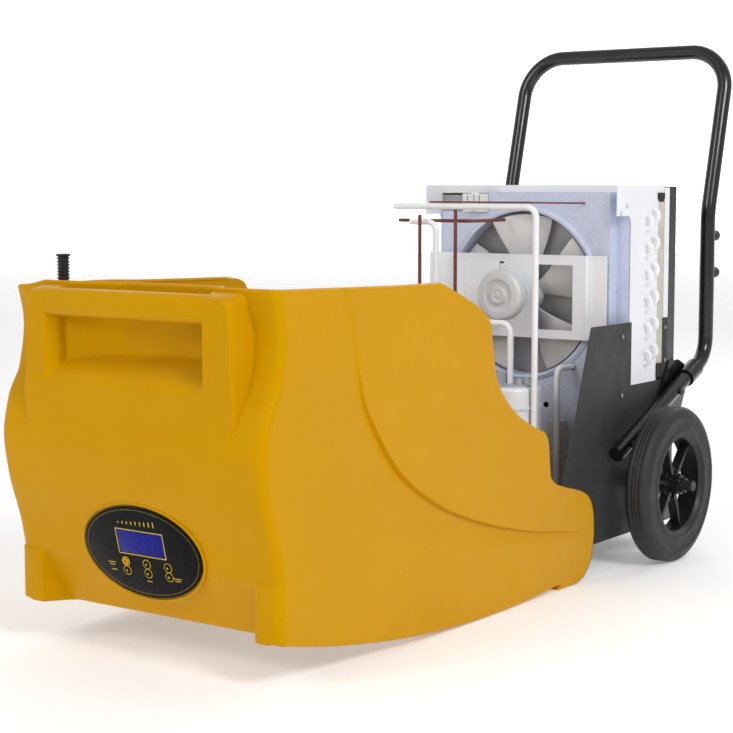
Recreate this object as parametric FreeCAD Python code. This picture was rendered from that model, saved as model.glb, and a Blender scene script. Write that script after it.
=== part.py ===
"""Portable refrigerant dehumidifier on two wheels, with its front shell drawn forward off the chassis.

Millimetres.  X runs across the machine, Y from the front (-) to the back (+), Z up.
The floor is Z = 0.  All pieces are drawn about the wheel axle's plane (Y = 0) and are moved at
the end, so that the origin is on the floor in the middle of the overall length and width.
"""
import FreeCAD, Part
import math
import os
from FreeCAD import Vector

# ---------------------------------------------------------------- driving dimensions
# wheels and axle
wheel_radius = 150.0
tyre_width = 53.0
tyre_side_gap = 11.5
rim_radius = 97.0
rim_setback = 3.0
hub_half = 24.0
hub_wall = 6.0
axle_radius = 10.0
axle_running_gap = 0.05
axle_overhang = 24.0
axle_plate_thickness = 4.0
bush_wall = 2.5
spoke_count = 6
spoke_phase = -11.0

# chassis
half_width = 220.0
sheet = 2.0
tray_height = 45.0
chassis_front = -323.0
chassis_rear = 177.0
rail_depth = 30.0
rail_width = 24.0
rail_top = 722.0
panel_top = 460.0
grille_bottom = 322.0

# fan, motor and bulkhead
bulkhead_y = -48.0
bulkhead_inset = 28.0
bulkhead_top = 711.0
bulkhead_step_x = -83.0
bulkhead_step_z = 672.0
fan_centre_z = 511.0
fan_opening_radius = 165.0
fan_tip_gap = 6.0
fan_blade_count = 5
fan_hub_radius = 36.0
fan_depth = 34.0
shaft_radius = 6.0
shaft_running_gap = 0.05
motor_radius = 49.0
motor_length = 84.0
bracket_foot_gap = 9.5
bracket_lift = 12.0
bracket_below = 86.0
bracket_above = 78.0
bracket_window_x = 84.0
bracket_window_half = 39.0

# coil
coil_bottom = 337.0
coil_top = 725.0
coil_front = -15.0
coil_rear = 124.0
filter_depth = 26.0
tube_radius = 4.8
tube_pitch = 25.4
bend_pair_pitch = 53.2
bend_pairs = 6

# compressor and pipes
compressor_x = 63.0
compressor_y = -200.0
compressor_radius = 59.0
compressor_top = 345.0
compressor_base = 62.0
mount_hole_radius = 5.0
line_radius = 6.0
copper_radius = 3.5
line_wall = 1.0
top_line_z = 684.0
bypass_x = 114.0
bypass_y = -110.0
bypass_top = 371.0
drier_x = 96.0
drier_y = -78.0
drier_radius = 19.0

# handle
handle_tube_radius = 15.0
handle_wall = 2.0
handle_side_gap = 5.0
handle_y = 283.0
handle_foot_z = 374.0
handle_lean_start = 668.0
handle_top = 1003.0
handle_lean = math.radians(14.6)
handle_corner = 85.0
handle_foot_slope = 0.42
handle_foot_end = -98.0

# front shell
shell_wall = 5.0
shell_side_gap = 6.0
shell_ground_gap = 1.0
shell_corner = 14.0
mask_inset = 61.0
mask_front = -1190.0
mask_bottom = 336.0
mask_top = 580.0
grab_left_inset = 54.0
grab_right_inset = 50.0
grab_floor = 426.0
grab_depth = 70.0
grab_fold_x = -45.0
grab_bar_bottom = 527.0
grab_bar_top = 566.0
grab_bar_depth = 34.0

# control panel on the shell
panel_width = 236.0
panel_height = 148.0
panel_centre_x = 5.0
panel_centre_z = 175.0
panel_tilt = math.radians(13.7)
bezel_thickness = 3.0
display_width = 94.0
display_height = 39.0
display_bottom = -5.0
button_radius = 6.0
button_gap = 0.35
button_travel = 1.5
button_columns = (-38.0, 5.0, 48.0)
button_rows = (-19.0, -34.0)

X_AXIS = Vector(1, 0, 0)
Y_AXIS = Vector(0, 1, 0)
Z_AXIS = Vector(0, 0, 1)

# ---------------------------------------------------------------- sizes that follow from those
bulkhead_half_width = half_width - bulkhead_inset
handle_half_width = half_width + handle_side_gap + handle_tube_radius
shell_half_width = handle_half_width + handle_tube_radius + shell_side_gap + shell_wall
wheel_centre_x = shell_half_width + tyre_side_gap + tyre_width / 2
mask_half_width = shell_half_width - mask_inset
grab_left = grab_left_inset - mask_half_width
grab_right = mask_half_width - grab_right_inset
bore_radius = axle_radius + axle_running_gap
hub_radius = bore_radius + bush_wall + hub_wall
bracket_foot_y = bulkhead_y - bracket_foot_gap
bracket_face_y = bracket_foot_y - bracket_lift
handle_foot_angle = math.atan(handle_foot_slope)

bar_lean_reach = math.tan(handle_lean) * (handle_top - handle_lean_start)
handle_bar_y = handle_y + bar_lean_reach
overall_rear = handle_bar_y + handle_tube_radius
belly_front = mask_front - 3.0
ORIGIN = Vector(0, (belly_front + overall_rear) / 2, 0)


# ---------------------------------------------------------------- small helpers
def box(x0, x1, y0, y1, z0, z1):
    return Part.makeBox(x1 - x0, y1 - y0, z1 - z0, Vector(x0, y0, z0))


def cylinder(radius, start, length, direction):
    return Part.makeCylinder(radius, length, start, direction)


def sleeve(outer, inner, start, length, direction):
    return cylinder(outer, start, length, direction).cut(cylinder(inner, start, length, direction))


def plate_x(outline, x0, x1):
    """A plate whose outline is given as (y, z) points, between two X planes."""
    points = [Vector(x0, y, z) for y, z in outline]
    return Part.Face(Part.makePolygon(points + points[:1])).extrude(Vector(x1 - x0, 0, 0))


def plate_y(outline, y0, y1):
    """A plate whose outline is given as (x, z) points, between two Y planes."""
    points = [Vector(x, y0, z) for x, z in outline]
    return Part.Face(Part.makePolygon(points + points[:1])).extrude(Vector(0, y1 - y0, 0))


def plate_z(outline, z0, z1):
    """A plate whose outline is given as (x, y) points, between two Z planes."""
    points = [Vector(x, y, z0) for x, y in outline]
    return Part.Face(Part.makePolygon(points + points[:1])).extrude(Vector(0, 0, z1 - z0))


def mirrored(shape):
    return shape.mirror(Vector(0, 0, 0), X_AXIS)


def moved(shape, x=0.0, y=0.0, z=0.0):
    copy = shape.copy()
    copy.translate(Vector(x, y, z))
    return copy


def joined(shapes):
    result = shapes[0]
    for shape in shapes[1:]:
        result = result.fuse(shape)
    return result.removeSplitter()


def bent_path(points, bends):
    """Straight runs joined by tangent arcs; bends holds one radius per inner corner."""
    corners = [Vector(*point) for point in points]
    edges = []
    start = corners[0]
    for before, corner, after, radius in zip(corners, corners[1:], corners[2:], bends):
        back = (before - corner).normalize()
        onward = (after - corner).normalize()
        half_turn = (math.pi - back.getAngle(onward)) / 2
        reach = radius * math.tan(half_turn)
        middle = corner + (back + onward).normalize() * (radius / math.cos(half_turn) - radius)
        edges.append(Part.LineSegment(start, corner + back * reach).toShape())
        edges.append(Part.Arc(corner + back * reach, middle, corner + onward * reach).toShape())
        start = corner + onward * reach
    edges.append(Part.LineSegment(start, corners[-1]).toShape())
    return Part.Wire(edges)


def bent_rod(points, bends, radius):
    first = Vector(*points[0])
    direction = (Vector(*points[1]) - first).normalize()
    section = Part.Wire([Part.makeCircle(radius, first, direction)])
    return bent_path(points, bends).makePipeShell([section], True, False)


def bent_pipe(points, bend, radius, wall):
    bends = bend if isinstance(bend, (list, tuple)) else [bend] * (len(points) - 2)
    return bent_rod(points, bends, radius).cut(bent_rod(points, bends, radius - wall))


def turned_x(profile, x_centre, z_centre):
    """A body of revolution about a line along X; profile holds (x, radius) points."""
    points = [Vector(x_centre + x, 0, z_centre + r) for x, r in profile]
    face = Part.Face(Part.makePolygon(points + points[:1]))
    return face.revolve(Vector(0, 0, z_centre), X_AXIS, 360)


def rounded(shape, radius, chosen):
    """Fillet the edges for which chosen(edge) is true."""
    return shape.makeFillet(radius, [edge for edge in shape.Edges if chosen(edge)])


PARTS = {}


def keep(name, *solids):
    PARTS[name] = Part.makeCompound(list(solids))


# ---------------------------------------------------------------- wheels
def tyre():
    half = tyre_width / 2
    crown_half = half * 0.62
    shoulder_radius = wheel_radius - 7.0
    bulge_radius = rim_radius + 22.0
    bead_half = half - rim_setback
    left = [Vector(-bead_half, 0, rim_radius), Vector(-half, 0, bulge_radius),
            Vector(-crown_half, 0, shoulder_radius)]
    right = [Vector(-point.x, 0, point.z) for point in left]
    wire = Part.Wire([
        Part.Arc(left[0], left[1], left[2]).toShape(),
        Part.Arc(left[2], Vector(0, 0, wheel_radius), right[2]).toShape(),
        Part.Arc(right[2], right[1], right[0]).toShape(),
        Part.LineSegment(right[0], left[0]).toShape()])
    ring = Part.Face(wire).revolve(Vector(0, 0, 0), X_AXIS, 360)
    return moved(ring, wheel_centre_x, 0, wheel_radius)


def rim():
    half = tyre_width / 2 - rim_setback
    band = 8.0
    web_half = 9.0
    rim_band = turned_x([(-half, rim_radius), (half, rim_radius), (half, rim_radius - 3),
                         (half - 6, rim_radius - band), (6 - half, rim_radius - band),
                         (-half, rim_radius - 3)], 0, 0)
    hub = cylinder(hub_radius, Vector(-hub_half, 0, 0), 2 * hub_half, X_AXIS)
    disc = cylinder(hub_radius + 14, Vector(-4, 0, 0), 8, X_AXIS)
    spokes = []
    for index in range(spoke_count):
        spoke = plate_x([(hub_radius - 2, -5.0), (rim_radius - band + 1, -2.5),
                         (rim_radius - band + 1, 2.5), (hub_radius - 2, 5.0)], -web_half, web_half)
        spoke.rotate(Vector(0, 0, 0), X_AXIS, 360.0 / spoke_count * index + spoke_phase)
        spokes.append(spoke)
    bosses = []
    for index in range(3):
        angle = math.radians(120 * index + 30)
        centre = Vector(-6, (hub_radius + 7) * math.cos(angle), (hub_radius + 7) * math.sin(angle))
        bosses.append(cylinder(5.0, centre, 18, X_AXIS))
    body = joined([rim_band, hub, disc] + spokes + bosses)
    bore = cylinder(bore_radius + bush_wall, Vector(-hub_half, 0, 0), 2 * hub_half, X_AXIS)
    return moved(body.cut(bore), wheel_centre_x, 0, wheel_radius)


def wheel_bush():
    bush_half = hub_half + 0.5
    start = Vector(wheel_centre_x - bush_half, 0, wheel_radius)
    return sleeve(bore_radius + bush_wall, bore_radius, start, 2 * bush_half, X_AXIS)


def axle_parts():
    half_length = wheel_centre_x + tyre_width / 2 + axle_overhang
    centre_z = wheel_radius
    end_gap = 0.5
    hub_face = hub_half + 0.5 + end_gap
    axle = cylinder(axle_radius, Vector(-half_length, 0, centre_z), 2 * half_length, X_AXIS)
    keep("axle", axle.makeChamfer(1.5, [e for e in axle.Edges if e.Closed]))
    spacer_start = Vector(half_width + end_gap, 0, centre_z)
    spacer_length = wheel_centre_x - hub_face - half_width - end_gap
    spacer = sleeve(axle_radius + 6, axle_radius, spacer_start, spacer_length, X_AXIS)
    cap_start = Vector(wheel_centre_x + hub_face, 0, centre_z)
    collar = sleeve(axle_radius + 4, axle_radius, cap_start, 9.0, X_AXIS)
    keep("axle_collars", spacer, mirrored(spacer), collar, mirrored(collar))
    plate_reach = 34.0
    plate = box(half_width - sheet - axle_plate_thickness, half_width - sheet, coil_front + 0.5,
                plate_reach, centre_z - plate_reach, centre_z + plate_reach)
    plate = plate.cut(cylinder(axle_radius, Vector(0, 0, centre_z), half_width, X_AXIS))
    keep("axle_plates", plate, mirrored(plate))


def wheels():
    for side, place in (("right", lambda shape: shape), ("left", mirrored)):
        keep("tyre_" + side, place(tyre()))
        keep("rim_" + side, place(rim()))
        keep("bush_" + side, place(wheel_bush()))


# ---------------------------------------------------------------- chassis
def side_panel():
    inner = half_width - sheet
    rear = chassis_rear - rail_depth
    outline = [(chassis_front, tray_height), (-289, 135), (-226, 286), (-167, panel_top),
               (coil_front + 8, panel_top), (coil_front + 8, coil_bottom), (coil_rear, coil_bottom),
               (coil_rear, panel_top), (rear, panel_top), (rear, tray_height)]
    skin = plate_x(outline, inner, half_width)
    lip = box(inner - 18, inner, -300, rear, tray_height + sheet, tray_height + 2 * sheet)
    panel = joined([skin, lip])
    return panel.cut(cylinder(axle_radius, Vector(0, 0, wheel_radius), 2 * half_width, X_AXIS))


def rear_rail():
    x0 = half_width - rail_width
    y0 = chassis_rear - rail_depth
    outer = box(x0, half_width, y0, chassis_rear, tray_height + sheet, rail_top)
    inner = box(x0 + sheet, half_width - sheet, y0 + sheet, chassis_rear - sheet,
                tray_height + sheet, rail_top - sheet)
    return outer.cut(inner)


def base_tray():
    inner = half_width - sheet
    floor = box(-inner, inner, chassis_front + 8, chassis_rear, tray_height, tray_height + sheet)
    front_lip = box(-inner + 20, inner - 20, chassis_front + 8, chassis_front + 10,
                    tray_height, tray_height + 28)
    rear_lip = box(-half_width + rail_width, half_width - rail_width, chassis_rear - sheet,
                   chassis_rear, tray_height, grille_bottom - 1)
    return joined([floor, front_lip, rear_lip])


def front_foot():
    foot = Part.makeCone(21, 17, tray_height - 3, Vector(150, chassis_front + 45, 0), Z_AXIS)
    washer = cylinder(12, Vector(150, chassis_front + 45, tray_height - 3), 3, Z_AXIS)
    return joined([foot, washer])


def chassis():
    keep("base_tray", base_tray())
    keep("front_feet", front_foot(), mirrored(front_foot()))
    keep("side_panel_right", side_panel())
    keep("side_panel_left", mirrored(side_panel()))
    keep("rear_rails", rear_rail(), mirrored(rear_rail()))
    inside = half_width - rail_width
    bars = [box(-inside, inside, chassis_rear - 24, chassis_rear - 4, z, z + 20)
            for z in (grille_bottom - 22, rail_top - 20)]
    keep("rear_crossbars", *bars)
    screws = []
    for y, z in ((-45, 434), (-45, 320), (-240, 120), (135, 441), (135, 375), (120, 100)):
        head = cylinder(4.5, Vector(half_width, y, z), 2.5, X_AXIS)
        screws.append(head.makeFillet(1.2, [e for e in head.Edges if e.Closed and
                                            abs(e.CenterOfMass.x - half_width - 2.5) < 0.1]))
    keep("panel_screws", *(screws + [mirrored(screw) for screw in screws]))
    inlet = box(-half_width - 22, -half_width, 50, 108, 90, 130)
    inlet = inlet.cut(box(-half_width - 22, -half_width - 8, 56, 102, 96, 124))
    prongs = [box(-half_width - 19, -half_width - 8, y - 1.5, y + 1.5, 106, 114)
              for y in (67.0, 79.0, 91.0)]
    keep("mains_inlet", joined([inlet] + prongs))


# ---------------------------------------------------------------- air path
def bulkhead():
    y0 = bulkhead_y - 1.5
    edge = bulkhead_half_width
    low = tray_height + sheet
    front = plate_y([(-edge, low), (edge, low), (edge, bulkhead_top),
                     (bulkhead_step_x, bulkhead_top), (bulkhead_step_x, bulkhead_step_z),
                     (-edge, bulkhead_step_z)], y0, bulkhead_y)
    back = coil_front - 1.0
    returns = []
    for sign, top in ((1, bulkhead_top), (-1, bulkhead_step_z)):
        x_side = sorted((sign * edge, sign * (edge - 1.5)))
        x_foot = sorted((sign * edge, sign * (half_width - sheet - 0.5)))
        returns.append(box(x_side[0], x_side[1], bulkhead_y - 0.5, back, low, top))
        returns.append(box(x_foot[0], x_foot[1], back - 1.5, back, low + 24, top))
    roof = box(bulkhead_step_x, edge, bulkhead_y - 0.5, back, bulkhead_top - 1.5, bulkhead_top)
    body = joined([front, roof] + returns)
    opening = cylinder(fan_opening_radius, Vector(0, y0 - 1, fan_centre_z), 10, Y_AXIS)
    oval = cylinder(6, Vector(55, y0 - 1, 291), 10, Y_AXIS)
    pass_hole = cylinder(line_radius + 1.5, Vector(bypass_x, y0 - 1, bypass_top), 10, Y_AXIS)
    return body.cut(opening).cut(oval).cut(pass_hole)


def orifice_ring():
    """Rolled bell mouth: a lip in front of the bulkhead and a short duct behind it."""
    lip = 9.0
    inner = fan_opening_radius - 3.0
    duct_end = coil_front - 3.0
    points = [(bulkhead_y - 1.5, fan_opening_radius + lip), (bulkhead_y - 4.0, fan_opening_radius + lip),
              (bulkhead_y - 7.0, fan_opening_radius + 3), (bulkhead_y - 6.0, inner + 1),
              (duct_end, inner), (duct_end, inner + 1.5), (bulkhead_y, inner + 1.5),
              (bulkhead_y - 1.5, inner + 2.5)]
    wire = Part.makePolygon([Vector(0, y, r) for y, r in points + points[:1]])
    ring = Part.Face(wire).revolve(Vector(0, 0, 0), Y_AXIS, 360)
    return moved(ring, 0, 0, fan_centre_z)


def motor_bracket():
    """Hat-section strap across the opening; its front face carries the motor."""
    z0 = fan_centre_z - bracket_below
    z1 = fan_centre_z + bracket_above
    foot_y = bracket_foot_y
    face_y = bracket_face_y
    fold = fan_opening_radius - 13.0
    face = box(-fold, fold, face_y, face_y + sheet, z0, z1)
    legs = [box(sign * fold - (sheet if sign > 0 else 0), sign * fold + (0 if sign > 0 else sheet),
                face_y, foot_y, z0, z1) for sign in (-1, 1)]
    feet = [box(fold - sheet, bulkhead_half_width, foot_y - sheet, foot_y, z0, z1),
            box(-half_width + sheet, -fold + sheet, foot_y - sheet, foot_y, z0, z1)]
    strap = joined([face] + legs + feet)
    for sign in (-1, 1):
        middle = sign * bracket_window_x
        window = box(middle - bracket_window_half, middle + bracket_window_half, face_y - 1,
                     face_y + sheet + 1, z0 + 17, z1 - 19)
        strap = strap.cut(window)
    bore = cylinder(shaft_radius + 6, Vector(0, face_y - 1, fan_centre_z), sheet + 2, Y_AXIS)
    studs = []
    for x in (-bulkhead_half_width + 8, bulkhead_half_width - 8):
        for z in (z0 + 12, z1 - 12):
            studs.append(cylinder(3.5, Vector(x, foot_y, z), bulkhead_y - 1.5 - foot_y, Y_AXIS))
    return joined([strap.cut(bore)] + studs)


def fan_motor():
    back = bracket_face_y
    front = back - motor_length
    can = cylinder(motor_radius, Vector(0, front, fan_centre_z), motor_length, Y_AXIS)
    can = rounded(can, 6.0, lambda e: e.Closed and abs(e.CenterOfMass.y - front) < 0.1)
    groove = sleeve(30, 17, Vector(0, front - 1, fan_centre_z), 5, Y_AXIS)
    lug = box(-6, 6, back - 34, back - 22, fan_centre_z + motor_radius - 2,
              fan_centre_z + motor_radius + 24)
    body = joined([can.cut(groove), lug])
    bore = cylinder(shaft_radius + shaft_running_gap, Vector(0, front + 20, fan_centre_z),
                    motor_length, Y_AXIS)
    return body.cut(bore)


def fan_blades():
    """Five broad pitched blades on a hub, cut to one round outline."""
    middle_y = bulkhead_y + 8.0
    tip = fan_opening_radius - 3.0 - fan_tip_gap
    hub = cylinder(fan_hub_radius, Vector(0, middle_y - fan_depth / 2, 0), fan_depth, Y_AXIS)
    hub = hub.makeFillet(5.0, [e for e in hub.Edges if e.Closed])
    sweep = math.radians(27)
    blades = []
    for index in range(fan_blade_count):
        root = fan_hub_radius - 4
        far = tip + 12
        corners = [(root, -15), (far * math.cos(sweep), -far * math.sin(sweep)),
                   (far, 0), (far * math.cos(sweep), far * math.sin(sweep)), (root, 15)]
        blade = plate_y(corners, -1.0, 1.0)
        blade.rotate(Vector(0, 0, 0), X_AXIS, 21)
        blade.rotate(Vector(0, 0, 0), Y_AXIS, 360.0 / fan_blade_count * index + 18)
        blades.append(moved(blade, 0, middle_y, 0))
    limit = cylinder(tip, Vector(0, middle_y - fan_depth / 2 - 10, 0), fan_depth + 20, Y_AXIS)
    depth = box(-tip, tip, middle_y - fan_depth / 2 + 0.5, middle_y + fan_depth / 2 - 0.5, -tip, tip)
    blades = [blade.common(limit).common(depth) for blade in blades]
    rotor = joined([hub] + blades)
    bore = cylinder(shaft_radius, Vector(0, middle_y - fan_depth, 0), 2 * fan_depth, Y_AXIS)
    return moved(rotor.cut(bore), 0, 0, fan_centre_z)


def air_path():
    keep("bulkhead", bulkhead())
    keep("orifice_ring", orifice_ring())
    keep("motor_bracket", motor_bracket())
    keep("fan_motor", fan_motor())
    keep("fan_blades", fan_blades())
    shaft_start = bracket_face_y - motor_length + 21
    shaft_end = bulkhead_y + 8 + fan_depth / 2 + 4
    keep("fan_shaft", cylinder(shaft_radius, Vector(0, shaft_start, fan_centre_z),
                               shaft_end - shaft_start, Y_AXIS))
    boxes = []
    for x in (-137.0, -109.0):
        body = box(x, x + 25, bulkhead_y - 14, bulkhead_y + 10, bulkhead_step_z + 0.2, 708)
        slot = box(x + 10, x + 13, bulkhead_y - 14, bulkhead_y - 6, 678, 703)
        boxes.append(body.cut(slot))
    keep("relay_boxes", *boxes)


# ---------------------------------------------------------------- coil
def coil():
    inner = half_width - sheet
    filter_front = coil_rear - filter_depth
    outline = [(coil_front + 8, coil_bottom), (filter_front, coil_bottom),
               (filter_front, coil_top - 17), (coil_rear, coil_top - 17), (coil_rear, coil_top),
               (-72, coil_top), (-72, 666), (coil_front - 8, 666), (coil_front, 655),
               (coil_front, panel_top), (coil_front + 8, panel_top)]
    end_plate = plate_x(outline, inner, half_width)
    keep("coil_end_plates", end_plate, mirrored(end_plate))
    cover = box(-inner, inner, coil_front, coil_rear, coil_top - 1.5, coil_top)
    flange = box(-inner, inner, coil_front, coil_front + 1.5, coil_top - 16, coil_top - 1.5)
    keep("coil_cover", joined([cover, flange]))
    fin_top = coil_top - 20
    keep("condenser_fins", box(-inner, inner, coil_front + 2, coil_front + 52, coil_bottom + 2, fin_top))
    keep("evaporator_fins", box(-inner, inner, coil_front + 58, filter_front - 1, coil_bottom + 2, fin_top))
    bends = []
    for pair in range(bend_pairs):
        for column, (y, drop) in enumerate(((47.0, 12.0), (73.0, 0.0))):
            z_high = 678.0 - pair * bend_pair_pitch - drop
            path = [(half_width, y, z_high), (half_width + 13, y, z_high),
                    (half_width + 13, y, z_high - tube_pitch), (half_width, y, z_high - tube_pitch)]
            bends.append(bent_rod(path, [12.0, 12.0], tube_radius))
    keep("return_bends", *(bends + [mirrored(bend) for bend in bends]))
    keep("air_filter", box(0.5 - half_width, half_width - 0.5, filter_front, coil_rear,
                           coil_bottom + 33, coil_top - 33))
    clips = []
    for z0, z1 in ((coil_bottom + 4, coil_bottom + 33), (coil_top - 33, coil_top - 18)):
        clips.append(box(half_width - 16, half_width - 0.5, filter_front, coil_rear, z0, z1))
    keep("filter_clips", *(clips + [mirrored(clip) for clip in clips]))
    channel = box(half_width - 16, half_width, coil_rear + 3, chassis_rear - rail_depth,
                  panel_top + 1, rail_top - 2)
    channel = channel.cut(box(half_width - 16, half_width - 1.5, coil_rear + 4.5,
                              chassis_rear - rail_depth, panel_top, rail_top - 3.5))
    keep("filter_channels", channel, mirrored(channel))
    keep("inlet_grille", inlet_grille())
    keep("drip_tray", drip_tray())


def inlet_grille():
    """Louvred plate across the back, between the rails."""
    inside = half_width - rail_width - 0.5
    y0 = chassis_rear - 3.0
    low = grille_bottom
    high = rail_top - 22
    plate = box(-inside, inside, y0, y0 + 1.5, low, high)
    slots = []
    slot_height = 9.0
    pitch = 18.0
    rows = int((high - low - 40) / pitch)
    for row in range(rows):
        z = low + 24 + row * pitch
        for x0, x1 in ((-inside + 18, -6), (6, inside - 18)):
            slots.append(box(x0, x1, y0 - 1, y0 + 3, z, z + slot_height))
    return plate.cut(Part.makeCompound(slots))


def drip_tray():
    inner = half_width - sheet - 1
    outer = box(-inner, inner, coil_front - 0.5, coil_rear + 4, coil_bottom - 26, coil_bottom - 1)
    hollow = box(-inner + 1.5, inner - 1.5, coil_front + 1, coil_rear + 2.5,
                 coil_bottom - 24.5, coil_bottom)
    spout = sleeve(8, 6, Vector(-150, 50, coil_bottom - 46), 21, Z_AXIS)
    tray = outer.cut(hollow).fuse(spout)
    return tray.cut(cylinder(6, Vector(-150, 50, coil_bottom - 46), 24, Z_AXIS)).removeSplitter()


# ---------------------------------------------------------------- compressor and pipes
def compressor():
    centre = Vector(compressor_x, compressor_y, compressor_base)
    can = cylinder(compressor_radius, centre, compressor_top - compressor_base, Z_AXIS)
    can = rounded(can, 9.0, lambda e: e.Closed)
    seam = sleeve(compressor_radius + 2.5, compressor_radius - 4,
                  Vector(compressor_x, compressor_y, compressor_top - 42), 6, Z_AXIS)
    foot = cylinder(compressor_radius + 22, Vector(compressor_x, compressor_y, compressor_base - 1),
                    3, Z_AXIS)
    legs = []
    for index in range(3):
        angle = math.radians(120 * index + 90)
        reach = compressor_radius + 7
        tip = Vector(compressor_x + reach * math.cos(angle),
                     compressor_y + reach * math.sin(angle), compressor_base - 1)
        legs.append(cylinder(17, tip, 3, Z_AXIS))
    foot = foot.common(cylinder(compressor_radius + 8, Vector(compressor_x, compressor_y, 0),
                                200, Z_AXIS))
    body = joined([can, seam, foot] + legs)
    stub = Vector(compressor_x, compressor_y, compressor_top - 12)
    body = body.cut(cylinder(line_radius, stub, 12, Z_AXIS))
    for index in range(3):
        body = body.cut(mount_hole(index))
    return body


def mount_centre(index):
    angle = math.radians(120 * index + 90)
    reach = compressor_radius + 11
    return Vector(compressor_x + reach * math.cos(angle), compressor_y + reach * math.sin(angle), 0)


def mount_hole(index):
    return cylinder(mount_hole_radius, mount_centre(index) + Vector(0, 0, 40), 40, Z_AXIS)


def compressor_mounts():
    mounts = []
    low = tray_height + sheet
    for index in range(3):
        centre = mount_centre(index)
        grommet = cylinder(12, centre + Vector(0, 0, low), compressor_base - 1 - low, Z_AXIS)
        neck = cylinder(mount_hole_radius, centre + Vector(0, 0, compressor_base - 1), 3, Z_AXIS)
        cap = cylinder(9, centre + Vector(0, 0, compressor_base + 2), 4, Z_AXIS)
        mounts.append(joined([grommet, neck, cap]))
    return mounts


def pipes():
    top_z = top_line_z
    t1_y = compressor_y - 21
    t1_x = compressor_x + compressor_radius + line_radius + 1
    keep("suction_pipe", bent_pipe([(-192, t1_y, top_z), (t1_x, t1_y, top_z), (t1_x, t1_y, 120),
                                    (t1_x, t1_y - 22, 96)], [20.0, 12.0], line_radius, line_wall))
    keep("discharge_pipe", bent_pipe([(compressor_x, compressor_y, compressor_top - 12),
                                      (compressor_x, compressor_y, 462), (-60, compressor_y, 462),
                                      (-60, compressor_y, 300), (-60, bulkhead_y - 1.5, 300)],
                                     20.0, line_radius, line_wall))
    keep("return_pipe", bent_pipe([(-154, t1_y, 654), (-95, t1_y, 654), (-95, t1_y, 230),
                                   (-95, bulkhead_y - 1.5, 230)], 20.0, line_radius, line_wall))
    keep("bypass_pipe", bent_pipe([(bypass_x, coil_front - 4, bypass_top), (bypass_x, bypass_y, bypass_top),
                                   (bypass_x, bypass_y, 138), (40, bypass_y, 120)],
                                  [14.0, 14.0], line_radius, line_wall))
    front = bent_pipe([(-120.6, t1_y - 18, 668), (-120.6, t1_y - 18, 110), (-120.6, t1_y + 40, 90)],
                      16.0, copper_radius, line_wall)
    middle = bent_pipe([(-50, t1_y, top_z - line_radius), (-50, t1_y, 120), (-80, t1_y + 60, 96)],
                       16.0, copper_radius, line_wall)
    across = bent_pipe([(-198, t1_y + 24, 656), (-39, t1_y + 24, 656), (-39, bulkhead_y - 12, 656)],
                       16.0, copper_radius, line_wall)
    keep("copper_pipes", front, middle, across)
    keep("capillary_tube", bent_rod([(-110, t1_y, 692.5), (118, t1_y, 692.5),
                                     (136, bulkhead_y - 1.5, 690)], [14.0], 1.8))
    drier_base = Vector(drier_x, drier_y, 132)
    drier = cylinder(drier_radius, drier_base, 136, Z_AXIS)
    drier = drier.makeFillet(5.0, [e for e in drier.Edges if e.Closed])
    neck = cylinder(4, Vector(drier_x, drier_y, 266), 10, Z_AXIS)
    strap = box(drier_x - 22, drier_x + 22, drier_y + drier_radius - 2, bulkhead_y - 1.5, 180, 200)
    keep("liquid_drier", joined([drier, neck, strap]))
    cover = cylinder(compressor_radius - 9, Vector(compressor_x, compressor_y, compressor_top),
                     3.5, Z_AXIS)
    dome = box(compressor_x - 34, compressor_x - 8, compressor_y - 18, compressor_y + 16,
               compressor_top, compressor_top + 22)
    stubs = [cylinder(6, Vector(compressor_x + x, compressor_y + y, compressor_top), 15, Z_AXIS)
             for x, y in ((26, 16), (30, -16))]
    lid = joined([cover, dome] + stubs)
    keep("terminal_cover", lid.cut(cylinder(line_radius + 1, Vector(compressor_x, compressor_y, 300),
                                            200, Z_AXIS)))


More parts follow.
